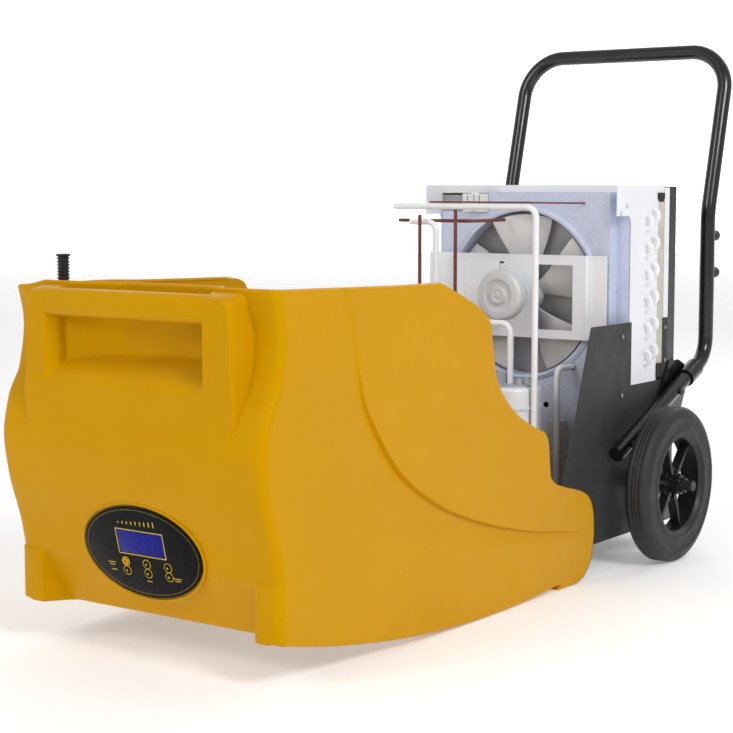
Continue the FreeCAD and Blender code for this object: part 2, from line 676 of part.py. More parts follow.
# ---------------------------------------------------------------- handle
def handle():
    lean_z = handle_lean_start
    foot_z = handle_foot_z
    end_z = foot_z - handle_foot_slope * (handle_y - handle_foot_end)
    right = [(handle_half_width, handle_foot_end, end_z), (handle_half_width, handle_y, foot_z),
             (handle_half_width, handle_y, lean_z), (handle_half_width, handle_bar_y, handle_top)]
    left = [(-x, y, z) for x, y, z in reversed(right)]
    bends = [60.0, 150.0, handle_corner, handle_corner, 150.0, 60.0]
    tube = bent_pipe(right + left, bends, handle_tube_radius, handle_wall)
    along = Vector(0, math.cos(handle_foot_angle), math.sin(handle_foot_angle))
    plug = cylinder(handle_tube_radius, Vector(*right[0]) - along * 3, 4, along)
    keep("handle_tube", joined([tube, plug, mirrored(plug)]))
    inner_face = handle_half_width - handle_tube_radius
    plate_outline = [(100, 262), (200, 262), (236, 330), (236, 352), (190, 372), (150, 372), (96, 300)]
    plate = plate_x(plate_outline, half_width, inner_face)
    plate = plate.cut(cylinder(6, Vector(half_width - 1, 124, 290), 2 * half_width, X_AXIS))
    saddle_start = Vector(handle_half_width, 190, foot_z - handle_foot_slope * (handle_y - 190))
    saddle = sleeve(handle_tube_radius + 4, handle_tube_radius, saddle_start, 48, along)
    clamp = joined([plate, saddle])
    keep("handle_plates", clamp, mirrored(clamp))
    bolts = []
    for y in (-60.0, 140.0):
        z = foot_z - handle_foot_slope * (handle_y - y)
        start = half_width if y < 100 else inner_face
        spacer = cylinder(6, Vector(start, y, z), inner_face - start, X_AXIS) if y < 100 else None
        head = cylinder(7.5, Vector(handle_half_width + handle_tube_radius, y, z), 4, X_AXIS)
        if spacer:
            bolts += [spacer, mirrored(spacer)]
        bolts += [head, mirrored(head)]
    keep("handle_bolts", *bolts)
    buffers = []
    for z in (545.0, 621.0):
        start = Vector(handle_half_width, handle_y + handle_tube_radius, z)
        buffer = cylinder(11, start, 24, Y_AXIS)
        buffer = buffer.makeFillet(2.5, [e for e in buffer.Edges if e.Closed and
                                         e.CenterOfMass.y > start.y + 20])
        buffers += [buffer, mirrored(buffer)]
    keep("rubber_buffers", *buffers)


# ---------------------------------------------------------------- front shell
BELLY = [(-1140, 66), (-1145, 116), (-1160, 196), (-1184, 276), (belly_front, 336),
         (-1181, 396), (-1156, 446), (-1146, 510), (-1160, 580)]
SHOULDER = [(-612, 515), (-593, 496), (-586, 457), (-574, 406), (-548, 369), (-499, 331),
            (-440, 304), (-412, 293), (-399, 272), (-395, 243), (-391, 214), (-376, 199)]
LOBE = [(-267, 166), (-246, 151), (-233, 120), (-231, 92), (-240, 44), (-268, 11), (-301, 1)]


def curve(points, shift_y=0.0):
    spline = Part.BSplineCurve()
    spline.interpolate([Vector(0, y + shift_y, z) for y, z in points])
    return spline.toShape()


def lines(points):
    vectors = [Vector(0, y, z) for y, z in points]
    return [Part.LineSegment(a, b).toShape() for a, b in zip(vectors, vectors[1:])]


def shell_side_face():
    ground = shell_ground_gap
    notch = (-372, ground + 9.0)
    arc = Part.Arc(Vector(0, notch[0], notch[1]), Vector(0, -580, ground),
                   Vector(0, BELLY[0][0], BELLY[0][1])).toShape()
    edges = [curve(BELLY)]
    edges += lines([BELLY[-1], (-743, 572), SHOULDER[0]])
    edges += [curve(SHOULDER)]
    edges += lines([SHOULDER[-1], LOBE[0]])
    edges += [curve(LOBE)]
    edges += lines([LOBE[-1], (-325, ground), (-352, ground + 8), notch])
    edges += [arc]
    return Part.Face(Part.Wire(Part.__sortEdges__(edges)))


def extruded_x(face, half):
    solid = face.extrude(Vector(2 * half, 0, 0))
    solid.translate(Vector(-half, 0, 0))
    return solid


def panel_frame():
    """Centre of the control panel's face, its outward normal and its upward direction."""
    normal = Vector(0, -math.cos(panel_tilt), -math.sin(panel_tilt))
    upward = Vector(0, -math.sin(panel_tilt), math.cos(panel_tilt))
    centre = Vector(panel_centre_x, -1160.0, panel_centre_z)
    return centre, normal, upward


def oval_plug(width, height, depth_from, depth_to):
    """An oval prism square to the panel; depths count inwards from the panel's face."""
    centre, normal, upward = panel_frame()
    start = centre - normal * depth_from
    ellipse = Part.Ellipse(start + X_AXIS * (width / 2), start + upward * (height / 2), start)
    return Part.Face(Part.Wire([ellipse.toShape()])).extrude(normal * (depth_from - depth_to))


def panel_block(u0, u1, v0, v1, depth_from, depth_to):
    """A rectangular block in the panel's own directions."""
    centre, normal, upward = panel_frame()
    corners = [centre - normal * depth_from + X_AXIS * u + upward * v
               for u, v in ((u0, v0), (u1, v0), (u1, v1), (u0, v1))]
    return Part.Face(Part.makePolygon(corners + corners[:1])).extrude(normal * (depth_from - depth_to))


def panel_pin(u, v, radius, depth_from, depth_to):
    centre, normal, upward = panel_frame()
    start = centre - normal * depth_from + X_AXIS * u + upward * v
    return cylinder(radius, start, depth_to - depth_from, normal * -1)


def grab_pocket(grow):
    """Recess behind the grab bar: its back has one shallow fold and its floor rises inwards."""
    back = mask_front + grab_depth + grow
    outline = [(grab_left - grow, mask_front - 20), (grab_right + grow, mask_front - 20),
               (grab_right + grow, back), (grab_fold_x, back), (grab_left - grow, back - 28)]
    plan = plate_z(outline, grab_floor - grow - 40, mask_top + 40)
    side = [(mask_front - 20, grab_floor - grow - 8), (mask_front, grab_floor - grow),
            (back, grab_floor - grow + 44), (back, mask_top + 40), (mask_front - 20, mask_top + 40)]
    return plan.common(plate_x(side, -mask_half_width, mask_half_width))


def front_shell():
    face = shell_side_face()
    outer = extruded_x(face, shell_half_width)
    outer = rounded(outer, shell_corner, front_edge)
    block = box(-mask_half_width, mask_half_width, mask_front, mask_front + grab_depth + shell_wall,
                mask_bottom - 6, mask_top)
    block = rounded(block, 18.0, lambda e: e.BoundBox.ZLength > 200 and e.CenterOfMass.y < -1180)
    rim_boss = oval_plug(panel_width + 16, panel_height + 16, 22, -1.5)
    outer = joined([outer, block, rim_boss])

    clear_half = shell_half_width - shell_wall
    inner_face = [curve(BELLY, shell_wall)]
    low = BELLY[0]
    high = BELLY[-1]
    inner_face += lines([(high[0] + shell_wall, high[1]), (high[0] + shell_wall, 700), (0, 700),
                         (0, -20), (low[0] + shell_wall, -20), (low[0] + shell_wall, low[1])])
    cavity = extruded_x(Part.Face(Part.Wire(Part.__sortEdges__(inner_face))), clear_half)
    cavity = rounded(cavity, shell_corner - 4, lambda e: e.Length > 400 and e.Length < 600 and
                     e.CenterOfMass.y < -1100 and abs(abs(e.CenterOfMass.x) - clear_half) < 1)
    block_space = box(-mask_half_width + shell_wall, mask_half_width - shell_wall,
                      mask_front + shell_wall, mask_front + grab_depth, mask_bottom + 6,
                      mask_top - shell_wall)
    cavity = cavity.fuse(block_space).cut(grab_pocket(shell_wall))
    boss_back = oval_plug(panel_width + 8, panel_height + 8, 21, -1)
    cavity = cavity.cut(boss_back)

    shell = outer.cut(cavity).cut(grab_pocket(0.0))
    bar = box(grab_left - 2, grab_right + 2, mask_front, mask_front + grab_bar_depth,
              grab_bar_bottom, grab_bar_top)
    bar = rounded(bar, 13.0, lambda e: e.BoundBox.XLength > 200)
    shell = shell.fuse(bar)

    skin = extruded_x(face, shell_half_width)
    skin = skin.cut(moved(skin, 0, 0, shell_wall))
    skin = skin.common(box(-400, 400, -1136, -250, -5, 90))
    skin = skin.cut(box(-clear_half + 24, clear_half - 24, -1112, 0, -20, 200))
    shell = shell.fuse(skin)

    pocket = oval_plug(panel_width + 0.6, panel_height + 0.6, bezel_thickness, -40)
    window = oval_plug(panel_width - 26, panel_height - 26, 60, -40)
    return shell.cut(pocket).cut(window).removeSplitter()


def front_edge(edge):
    middle = edge.CenterOfMass
    return edge.Length > 400 and edge.Length < 600 and middle.y < -1100 \
        and abs(abs(middle.x) - shell_half_width) < 1


def shell_parts():
    keep("front_shell", front_shell())
    bezel = oval_plug(panel_width, panel_height, bezel_thickness, 0)
    u0 = -display_width / 2
    glass = panel_block(u0, -u0, display_bottom, display_bottom + display_height, bezel_thickness, 0.4)
    bezel = bezel.cut(panel_block(u0, -u0, display_bottom, display_bottom + display_height, 10, -10))
    housing = oval_plug(panel_width - 30, panel_height - 30, 34, bezel_thickness)
    number = 0
    for v in button_rows:
        for u in button_columns:
            number += 1
            bezel = bezel.cut(panel_pin(u, v, button_radius + button_gap, -5, 10))
            housing = housing.cut(panel_pin(u, v, button_radius + button_gap, bezel_thickness - 1, 9.5))
            cap = panel_pin(u, v, button_radius, -1.5, 6.5)
            keep("button_%d" % number, cap)
    keep("panel_bezel", bezel)
    keep("display", glass)
    keep("control_box", housing)
    drain_hose()


def drain_hose():
    x = 37 - shell_half_width
    y = -1085.0
    radius = 8.5
    hose = bent_pipe([(x, y, 616), (x, y, 130), (x + 60, y + 40, 110)], [30.0], radius, 2.0)
    cuff = sleeve(radius + 3, radius - 2, Vector(x, y, 604), 12, Z_AXIS)
    keep("drain_hose", joined([hose, cuff]))
    clips = []
    for z in (220.0, 480.0):
        arm = box(-shell_half_width + shell_wall, x, y - 6, y + 6, z, z + 16)
        clip = joined([arm, cylinder(radius + 3, Vector(x, y, z), 16, Z_AXIS)])
        clips.append(clip.cut(cylinder(radius, Vector(x, y, z - 1), 18, Z_AXIS)))
    keep("hose_clips", *clips)


# ---------------------------------------------------------------- build and write
wheels()
axle_parts()
chassis()
air_path()
coil()
keep("compressor", compressor())
keep("compressor_mounts", *compressor_mounts())
pipes()
handle()
shell_parts()

os.makedirs("parts", exist_ok=True)
for name, shape in PARTS.items():
    placed = shape.copy()
    placed.translate(ORIGIN * -1)
    placed.exportStep("parts/%s.step" % name)
print("origin shift", ORIGIN.y, "nodes", len(PARTS))
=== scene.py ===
# %% [markdown]
# This lesson dresses a wheeled dehumidifier: a yellow moulded front shell, drawn forward off a dark sheet
# steel chassis that carries a fan, a coil, a compressor and its white pipes. The engineering model is
# loaded first and stays where it is. New pieces are then modelled around it, and every surface gets its own
# finish.

# %% Load the frame
import bpy
import math
from mathutils import Matrix, Vector


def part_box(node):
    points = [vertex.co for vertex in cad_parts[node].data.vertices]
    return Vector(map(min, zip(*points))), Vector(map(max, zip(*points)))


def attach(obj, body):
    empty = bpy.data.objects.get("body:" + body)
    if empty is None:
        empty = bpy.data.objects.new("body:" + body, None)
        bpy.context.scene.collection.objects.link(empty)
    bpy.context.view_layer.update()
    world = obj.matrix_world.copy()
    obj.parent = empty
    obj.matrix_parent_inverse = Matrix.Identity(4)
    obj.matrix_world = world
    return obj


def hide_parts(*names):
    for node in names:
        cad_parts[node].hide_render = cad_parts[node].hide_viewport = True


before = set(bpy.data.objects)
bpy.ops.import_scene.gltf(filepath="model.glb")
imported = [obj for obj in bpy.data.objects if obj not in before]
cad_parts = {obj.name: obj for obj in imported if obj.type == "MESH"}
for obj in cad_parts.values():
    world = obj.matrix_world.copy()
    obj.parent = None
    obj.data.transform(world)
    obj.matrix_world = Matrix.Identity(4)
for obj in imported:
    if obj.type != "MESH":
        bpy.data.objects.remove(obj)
bpy.ops.object.select_all(action="DESELECT")
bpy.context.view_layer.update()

# %% [markdown]
# A maker measures this machine in millimetres from the wheel axle, because the axle is its one fixed line.
# The frame counts in metres from the middle of the floor, so one small function turns the first into the
# second.

# %% Places on the machine
axle_low, axle_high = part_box("axle")
AXLE_Y = (axle_low.y + axle_high.y) / 2
AXLE_Z = (axle_low.z + axle_high.z) / 2
MM = 0.001


def at(x, y, z):
    return Vector((x * MM, AXLE_Y + y * MM, z * MM))


print("axle at y", round(AXLE_Y, 4), "z", round(AXLE_Z, 4))

# %% [markdown]
# The camera stands low in front of the machine's right side, a little above the top of the shell. It comes
# first, because everything that follows is judged through it.

# %% Camera
lens = bpy.data.cameras.new("camera")
lens.sensor_width = 36.0
lens.lens = 86.33
camera = bpy.data.objects.new("camera", lens)
bpy.context.scene.collection.objects.link(camera)
camera.location = at(1809.9, -3062.9, 724.5)
camera.rotation_euler = (math.radians(84.115), 0.0, math.radians(36.091))
bpy.context.scene.camera = camera
bpy.context.scene.view_settings.view_transform = "Standard"

# %% [markdown]
# The light is that of a white product studio: a bright room all round, one broad soft light high on the
# right, and a weaker one on the left that keeps the shell's shadow side from going dead.

# %% Studio
def soft_light(name, place, target, size, power):
    light = bpy.data.lights.new(name, "AREA")
    light.energy = power
    light.size = size
    lamp = bpy.data.objects.new(name, light)
    bpy.context.scene.collection.objects.link(lamp)
    lamp.location = place
    lamp.rotation_euler = (target - place).to_track_quat("-Z", "Y").to_euler()


MIDDLE = at(0, -400, 350)
soft_light("key_light", Vector((3.6, -1.5, 3.2)), MIDDLE, 1.3, 92)
soft_light("fill_light", Vector((-1.2, -4.4, 3.0)), MIDDLE, 1.6, 52)
soft_light("back_light", Vector((0.5, 3.8, 3.0)), MIDDLE, 2.5, 30)

room = bpy.data.worlds.new("white_room")
room.use_nodes = True
room.node_tree.nodes["Background"].inputs["Color"].default_value = (1.0, 1.0, 1.0, 1.0)
room.node_tree.nodes["Background"].inputs["Strength"].default_value = 0.5
bpy.context.scene.world = room

bpy.ops.mesh.primitive_plane_add(size=40, location=(0, 0, 0))
floor = bpy.context.object
floor.name = "studio_floor"
bpy.ops.mesh.primitive_plane_add(size=30, location=(-9.0, 13.0, 0),
                                 rotation=(math.radians(90), 0, math.radians(36)))
backdrop = bpy.context.object
backdrop.name = "studio_backdrop"

# %% [markdown]
# Every finish below starts from the same small kit. A Principled shader gets its colour from two close
# shades mixed by soft noise, its roughness from a second noise, and its surface from a fine bump. All
# patterns read Object coordinates, so they stay put on a part when it moves.

# %% The material kit
def start_material(name, roughness=0.5, metallic=0.0, specular=0.5):
    material = bpy.data.materials.new(name)
    material.use_nodes = True
    shader = material.node_tree.nodes["Principled BSDF"]
    shader.inputs["Roughness"].default_value = roughness
    shader.inputs["Metallic"].default_value = metallic
    shader.inputs["Specular IOR Level"].default_value = specular
    return material, shader


def node(material, kind):
    return material.node_tree.nodes.new(kind)


def wire(material, output, target):
    material.node_tree.links.new(output, target)


def stretched(material, scale):
    """Object coordinates, drawn out along some axes."""
    place = node(material, "ShaderNodeTexCoord")
    mapping = node(material, "ShaderNodeMapping")
    mapping.inputs["Scale"].default_value = scale
    wire(material, place.outputs["Object"], mapping.inputs["Vector"])
    return mapping.outputs["Vector"]


def noise(material, scale, detail=3.0, stretch=(1, 1, 1), roughness=0.5):
    made = node(material, "ShaderNodeTexNoise")
    made.inputs["Scale"].default_value = scale
    made.inputs["Detail"].default_value = detail
    made.inputs["Roughness"].default_value = roughness
    wire(material, stretched(material, stretch), made.inputs["Vector"])
    return made.outputs["Fac"]


def two_tone(material, factor, low, high, start=0.35, end=0.65):
    """A colour ramp between two shades."""
    ramp = node(material, "ShaderNodeValToRGB")
    ramp.color_ramp.elements[0].position = start
    ramp.color_ramp.elements[0].color = (*low, 1.0)
    ramp.color_ramp.elements[1].position = end
    ramp.color_ramp.elements[1].color = (*high, 1.0)
    wire(material, factor, ramp.inputs["Fac"])
    return ramp.outputs["Color"]


def spread(material, factor, low, high):
    """Noise remapped to a range of roughness."""
    ranged = node(material, "ShaderNodeMapRange")
    ranged.inputs["From Min"].default_value = 0.3
    ranged.inputs["From Max"].default_value = 0.7
    ranged.inputs["To Min"].default_value = low
    ranged.inputs["To Max"].default_value = high
    wire(material, factor, ranged.inputs["Value"])
    return ranged.outputs["Result"]


def bumped(material, shader, height, strength, depth):
    bump = node(material, "ShaderNodeBump")
    bump.inputs["Strength"].default_value = strength
    bump.inputs["Distance"].default_value = depth
    wire(material, height, bump.inputs["Height"])
    wire(material, bump.outputs["Normal"], shader.inputs["Normal"])


def shade(colour, factor):
    return tuple(channel * factor for channel in colour)


def surface(name, colour, roughness, metallic=0.0, variation=0.12, patch=9.0, grain=900.0,
            grain_depth=0.00012, bump=0.25, gloss_spread=0.08, stretch=(1, 1, 1), specular=0.5):
    """The common finish: mottled colour, uneven gloss and a fine grain."""
    material, shader = start_material(name, roughness, metallic, specular)
    patches = noise(material, patch, 4.0, stretch)
    wire(material, two_tone(material, patches, shade(colour, 1 - variation), colour),
         shader.inputs["Base Color"])
    wire(material, spread(material, noise(material, patch * 3.1, 3.0, stretch),
                          roughness - gloss_spread, roughness + gloss_spread), shader.inputs["Roughness"])
    bumped(material, shader, noise(material, grain, 2.0, stretch), bump, grain_depth)
    return material, shader


def dress(material, *names):
    """Give carried-over CAD nodes a finish."""
    for name in names:
        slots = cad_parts[name].data.materials
        slots.clear()
        slots.append(material)


# %% [markdown]
# The shell is rotomoulded polyethylene. Such a skin is evenly coloured right through, with a faint orange-
# peel surface from the mould and a satin gloss that is a little uneven. A few rubbed places are paler.

# %% Yellow rotomoulded plastic
YELLOW = (0.60, 0.295, 0.0005)
yellow_plastic, yellow_shader = start_material("yellow_rotomoulded", 0.42, 0.0, 0.22)
yellow_shader.inputs["Specular Tint"].default_value = (1.0, 0.70, 0.03, 1.0)
soft_patches = noise(yellow_plastic, 5.0, 5.0)
wire(yellow_plastic, two_tone(yellow_plastic, soft_patches, shade(YELLOW, 0.93), YELLOW, 0.3, 0.7),
     yellow_shader.inputs["Base Color"])
wire(yellow_plastic, spread(yellow_plastic, noise(yellow_plastic, 22.0, 6.0), 0.33, 0.45),
     yellow_shader.inputs["Roughness"])
bumped(yellow_plastic, yellow_shader, noise(yellow_plastic, 420.0, 2.0), 0.16, 0.0004)

# %% [markdown]
# The chassis has four sheet finishes. The side panels and tray are matt charcoal powder coat, the rails and
# the handle a glossier black one, the bulkhead is bluish galvanised sheet with its crystal spangle, and the
# bracket and coil plates are a plain white coat.

# %% Sheet finishes
charcoal_coat, _ = surface("charcoal_powder_coat", (0.036, 0.036, 0.037), 0.58, variation=0.18, grain=1500.0,
                           grain_depth=0.00018, bump=0.35)
black_coat, black_shader = surface("gloss_black_coat", (0.006, 0.006, 0.007), 0.25, variation=0.3, grain=700.0,
                                   grain_depth=0.0002, bump=0.12, gloss_spread=0.05)
black_shader.inputs["Coat Weight"].default_value = 0.35
black_shader.inputs["Coat Roughness"].default_value = 0.12

galvanised, galvanised_shader = start_material("bluish_galvanised", 0.45, 0.15, 0.5)
spangle = node(galvanised, "ShaderNodeTexVoronoi")
spangle.inputs["Scale"].default_value = 120.0
wire(galvanised, stretched(galvanised, (1, 1, 1)), spangle.inputs["Vector"])
spangle_grey = node(galvanised, "ShaderNodeRGBToBW")
wire(galvanised, spangle.outputs["Color"], spangle_grey.inputs["Color"])
spangle_value = spangle_grey.outputs["Val"]
wire(galvanised, two_tone(galvanised, spangle_value, (0.56, 0.61, 0.76), (0.61, 0.66, 0.81), 0.2, 0.9),
     galvanised_shader.inputs["Base Color"])
wire(galvanised, spread(galvanised, spangle_value, 0.38, 0.52), galvanised_shader.inputs["Roughness"])
bumped(galvanised, galvanised_shader, noise(galvanised, 60.0, 3.0), 0.1, 0.0005)

white_coat, _ = surface("white_sheet_coat", (0.86, 0.87, 0.90), 0.45, variation=0.04, grain=1100.0, bump=0.15)

# %% [markdown]
# Metal pieces come next. Thin fins are bright aluminium, and the dark stripes between them are painted shade
# in the gaps between fins; the pipes wear a white insulating coat, the thin lines are dull copper that has
# browned from brazing, and small hardware is grey zinc with the fine lines of turning.

# %% Metals and pipes
fin_metal_with_gap_shade, fin_shader = start_material("fin_aluminium", 0.4, 0.4, 0.4)
# The wave's light bands are the fins' bright aluminium edges and its dark bands are painted shade in the gaps
# between fins; the same wave also drives the bump.
fin_edge_and_gap_shade_wave = node(fin_metal_with_gap_shade, "ShaderNodeTexWave")
fin_edge_and_gap_shade_wave.inputs["Scale"].default_value = 143.0
wire(fin_metal_with_gap_shade, stretched(fin_metal_with_gap_shade, (1, 1, 1)), fin_edge_and_gap_shade_wave.inputs["Vector"])
wire(fin_metal_with_gap_shade, two_tone(fin_metal_with_gap_shade, fin_edge_and_gap_shade_wave.outputs["Fac"], (0.34, 0.34, 0.35), (0.62, 0.63, 0.64), 0.5, 0.9),
     fin_shader.inputs["Base Color"])
bumped(fin_metal_with_gap_shade, fin_shader, fin_edge_and_gap_shade_wave.outputs["Fac"], 0.6, 0.0008)
pipe_white, _ = surface("white_pipe_coat", (0.90, 0.91, 0.93), 0.38, variation=0.05, patch=30.0, grain=1400.0,
                        bump=0.2)
copper, _ = surface("browned_copper", (0.235, 0.060, 0.050), 0.42, 0.25, variation=0.35, patch=28.0,
                    stretch=(1, 1, 0.4))
zinc, _ = surface("turned_zinc", (0.30, 0.30, 0.31), 0.36, 0.85, variation=0.15, patch=60.0, grain=2500.0)
blackened, _ = surface("blackened_steel", (0.045, 0.045, 0.047), 0.42, 0.5, variation=0.2, patch=60.0)
motor_paint, _ = surface("motor_paint", (0.66, 0.67, 0.68), 0.42, 0.05, variation=0.06, patch=22.0)
can_enamel, _ = surface("compressor_enamel", (0.78, 0.79, 0.83), 0.33, 0.05, variation=0.07, patch=14.0,
                        bump=0.12)
drier_paint, _ = surface("drier_paint", (0.62, 0.58, 0.50), 0.45, variation=0.08, patch=25.0)

# %% [markdown]
# Rubber and plastic pieces differ mostly in gloss and grain. Tyre rubber is the dullest, moulded nylon has
# a dry sheen, and the fan is a pale glass-filled plastic.

# %% Rubbers and plastics
tyre_rubber, _ = surface("tyre_rubber", (0.020, 0.020, 0.021), 0.56, variation=0.22, patch=18.0, grain=1300.0,
                         grain_depth=0.0003, bump=0.35, specular=0.45)
soft_rubber, _ = surface("soft_rubber", (0.016, 0.016, 0.016), 0.62, variation=0.2, patch=40.0, grain=1600.0)
black_nylon, _ = surface("black_nylon", (0.011, 0.011, 0.012), 0.44, variation=0.25, patch=25.0, grain=1400.0)
natural_nylon, _ = surface("natural_nylon", (0.45, 0.44, 0.40), 0.5, variation=0.08, patch=50.0)
fan_plastic, _ = surface("fan_plastic", (0.66, 0.66, 0.65), 0.46, variation=0.05, patch=16.0, grain=1500.0)
white_plastic, _ = surface("white_plastic", (0.78, 0.78, 0.77), 0.4, variation=0.04, patch=40.0)
slate_plastic, _ = surface("slate_plastic", (0.40, 0.43, 0.47), 0.5, variation=0.12, patch=30.0)
hose_plastic, _ = surface("hose_plastic", (0.010, 0.010, 0.011), 0.36, variation=0.2, patch=30.0)
box_plastic, _ = surface("box_plastic", (0.02, 0.02, 0.021), 0.5, variation=0.15, patch=30.0)

filter_wool, filter_shader = surface("filter_wool", (0.66, 0.63, 0.52), 0.9, variation=0.16, patch=35.0,
                                     grain=2200.0, grain_depth=0.0012, bump=0.8)
filter_shader.inputs["Sheen Weight"].default_value = 0.3

# %% [markdown]
# The control panel is a printed film over a blue display, so it is smoother than the moulded plastics and
# reflects little. The gold print is opaque ink. The studio's floor and backdrop are given a glow of their
# own here, as lit paper has, because white paper lit only from above would turn out grey.

# %% Panel finishes
bezel_film, _ = surface("black_overlay", (0.0025, 0.0025, 0.003), 0.3, variation=0.2, patch=50.0,
                        grain=1800.0, bump=0.06, gloss_spread=0.05, specular=0.12)
blue_window, _ = surface("blue_display", (0.006, 0.008, 0.24), 0.22, variation=0.2, patch=14.0,
                         grain=2600.0, bump=0.04, gloss_spread=0.04, specular=0.15)
gold_ink, _ = surface("gold_ink", (0.72, 0.50, 0.03), 0.45, variation=0.06, patch=120.0, specular=0.2)
floor_white, floor_shader = surface("floor_paper", (0.9, 0.9, 0.9), 0.85, variation=0.01, patch=1.0)
floor_shader.inputs["Emission Color"].default_value = (1.0, 1.0, 1.0, 1.0)
floor_shader.inputs["Emission Strength"].default_value = 0.22
floor.data.materials.append(floor_white)
backdrop_light, backdrop_shader = surface("backdrop_light", (0.9, 0.9, 0.9), 0.9, variation=0.01, patch=1.0)
backdrop_shader.inputs["Emission Color"].default_value = (1.0, 1.0, 1.0, 1.0)
backdrop_shader.inputs["Emission Strength"].default_value = 0.8
backdrop.data.materials.append(backdrop_light)

# %% [markdown]
# Each part of the engineering model now gets the finish of its real material. The parts that are modelled
# again further down are dressed too, so that none is left bare if its new piece is taken out.

# %% Dress the CAD nodes
dress(charcoal_coat, "side_panel_right", "side_panel_left", "base_tray", "axle_plates", "inlet_grille")
dress(black_coat, "handle_tube", "handle_plates", "rear_rails", "rear_crossbars")
dress(galvanised, "bulkhead", "orifice_ring")
dress(white_coat, "motor_bracket", "coil_end_plates", "coil_cover", "filter_channels", "drip_tray")
dress(motor_paint, "fan_motor")
# The fins' finish paints the shade in the gaps between fins as dark stripes.
dress(fin_metal_with_gap_shade, "condenser_fins", "evaporator_fins")
dress(pipe_white, "suction_pipe", "discharge_pipe", "return_pipe", "bypass_pipe", "return_bends")
dress(copper, "copper_pipes", "capillary_tube")
dress(can_enamel, "compressor")
dress(slate_plastic, "terminal_cover")
dress(soft_rubber, "front_feet", "compressor_mounts", "rubber_buffers", "filter_clips")
dress(filter_wool, "air_filter")
dress(drier_paint, "liquid_drier")
dress(white_plastic, "relay_boxes")
dress(zinc, "panel_screws", "fan_shaft")
dress(blackened, "axle", "axle_collars", "handle_bolts")
dress(box_plastic, "mains_inlet", "control_box")
dress(tyre_rubber, "tyre_right", "tyre_left")
dress(black_nylon, "rim_right", "rim_left")
dress(natural_nylon, "bush_right", "bush_left")
dress(fan_plastic, "fan_blades")
dress(yellow_plastic, "front_shell")
dress(bezel_film, "panel_bezel")
dress(blue_window, "display")
dress(hose_plastic, "drain_hose", "hose_clips")
BUTTONS = ["button_%d" % number for number in range(1, 7)]
dress(bezel_film, *BUTTONS)

# %% [markdown]
# Modelling uses a few hand tools over and over. Each puts a primitive at its size and place, works on it in
# edit mode or with a modifier, and leaves the piece with its object at the origin, so that its place is in
# its mesh.

# %% The modelling kit
def settle(piece):
    """Make piece the only selected object and bring its place into its mesh."""
    bpy.ops.object.select_all(action="DESELECT")
    piece.select_set(True)
    bpy.context.view_layer.objects.active = piece
    bpy.ops.object.transform_apply(location=True, rotation=True, scale=True)
    return piece


def rod(name, start, end, radius, sides=32):
    along = end - start
    bpy.ops.mesh.primitive_cylinder_add(vertices=sides, radius=radius, depth=along.length,
                                        location=(start + end) / 2,
                                        rotation=along.to_track_quat("Z", "Y").to_euler())
    bpy.context.object.name = name
    return settle(bpy.context.object)


def block(name, low, high):
    bpy.ops.mesh.primitive_cube_add(size=1, location=(low + high) / 2)
    bpy.context.object.name = name
    bpy.context.object.scale = high - low
    return settle(bpy.context.object)


def modify(piece, kind, **settings):
    """Add a modifier and apply it."""
    bpy.ops.object.select_all(action="DESELECT")
    piece.select_set(True)
    bpy.context.view_layer.objects.active = piece
    modifier = piece.modifiers.new(kind.lower(), kind)
    for key, value in settings.items():
        setattr(modifier, key, value)
    bpy.ops.object.modifier_apply(modifier=modifier.name)
    return piece


def soften(piece, width, segments=3, angle=30):
    return modify(piece, "BEVEL", width=width, segments=segments, limit_method="ANGLE",
                  angle_limit=math.radians(angle))


def cut(piece, cutter):
    """Take the cutter's shape out of the piece and throw the cutter away."""
    modify(piece, "BOOLEAN", object=cutter, operation="DIFFERENCE", solver="EXACT")
    bpy.data.objects.remove(cutter)
    return piece


def merge(name, pieces):
    bpy.ops.object.select_all(action="DESELECT")
    for piece in pieces:
        piece.select_set(True)
    bpy.context.view_layer.objects.active = pieces[0]
    bpy.ops.object.join()
    pieces[0].name = name
    return pieces[0]


def turned(name, profile, centre, axis, steps=72):
    """Spin a profile about an axis through centre.  The profile holds (along the axis, radius) in millimetres."""
    side = axis.orthogonal().normalized()
    points = [centre + axis * (along * MM) + side * (radius * MM) for along, radius in profile]
    edges = [(index, index + 1) for index in range(len(points) - 1)]
    mesh = bpy.data.meshes.new(name)
    mesh.from_pydata(points, edges, [])
    piece = bpy.data.objects.new(name, mesh)
    bpy.context.scene.collection.objects.link(piece)
    settle(piece)
    bpy.ops.object.mode_set(mode="EDIT")
    bpy.ops.mesh.select_all(action="SELECT")
    bpy.ops.mesh.spin(steps=steps, angle=math.tau, center=centre, axis=axis)
    bpy.ops.mesh.select_all(action="SELECT")
    bpy.ops.mesh.remove_doubles(threshold=0.00002)
    bpy.ops.mesh.normals_make_consistent(inside=False)
    bpy.ops.object.mode_set(mode="OBJECT")
    return piece


def round_corners(points, radius, steps=5):
    """Swap each inner corner of a profile for a short arc."""
    result = [points[0]]
    for before, corner, after in zip(points, points[1:], points[2:]):
        corner_v = Vector(corner)
        back = Vector(before) - corner_v
        onward = Vector(after) - corner_v
        reach = min(radius, back.length * 0.49, onward.length * 0.49)
        start = corner_v + back.normalized() * reach
        end = corner_v + onward.normalized() * reach
        for step in range(steps + 1):
            t = step / steps
            result.append(tuple(start.lerp(corner_v, t).lerp(corner_v.lerp(end, t), t)))
    result.append(points[-1])
    return result


def finished(piece, body, material, replaces=(), angle=35):
    """Smooth a piece, give it its finish, and hang it on its body."""
    settle(piece)
    bpy.ops.object.shade_smooth_by_angle(angle=math.radians(angle))
    piece.data.materials.clear()
    piece.data.materials.append(material)
    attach(piece, body)
    if replaces:
        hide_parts(*replaces)
    print(piece.name, "faces", len(piece.data.polygons))
    return piece


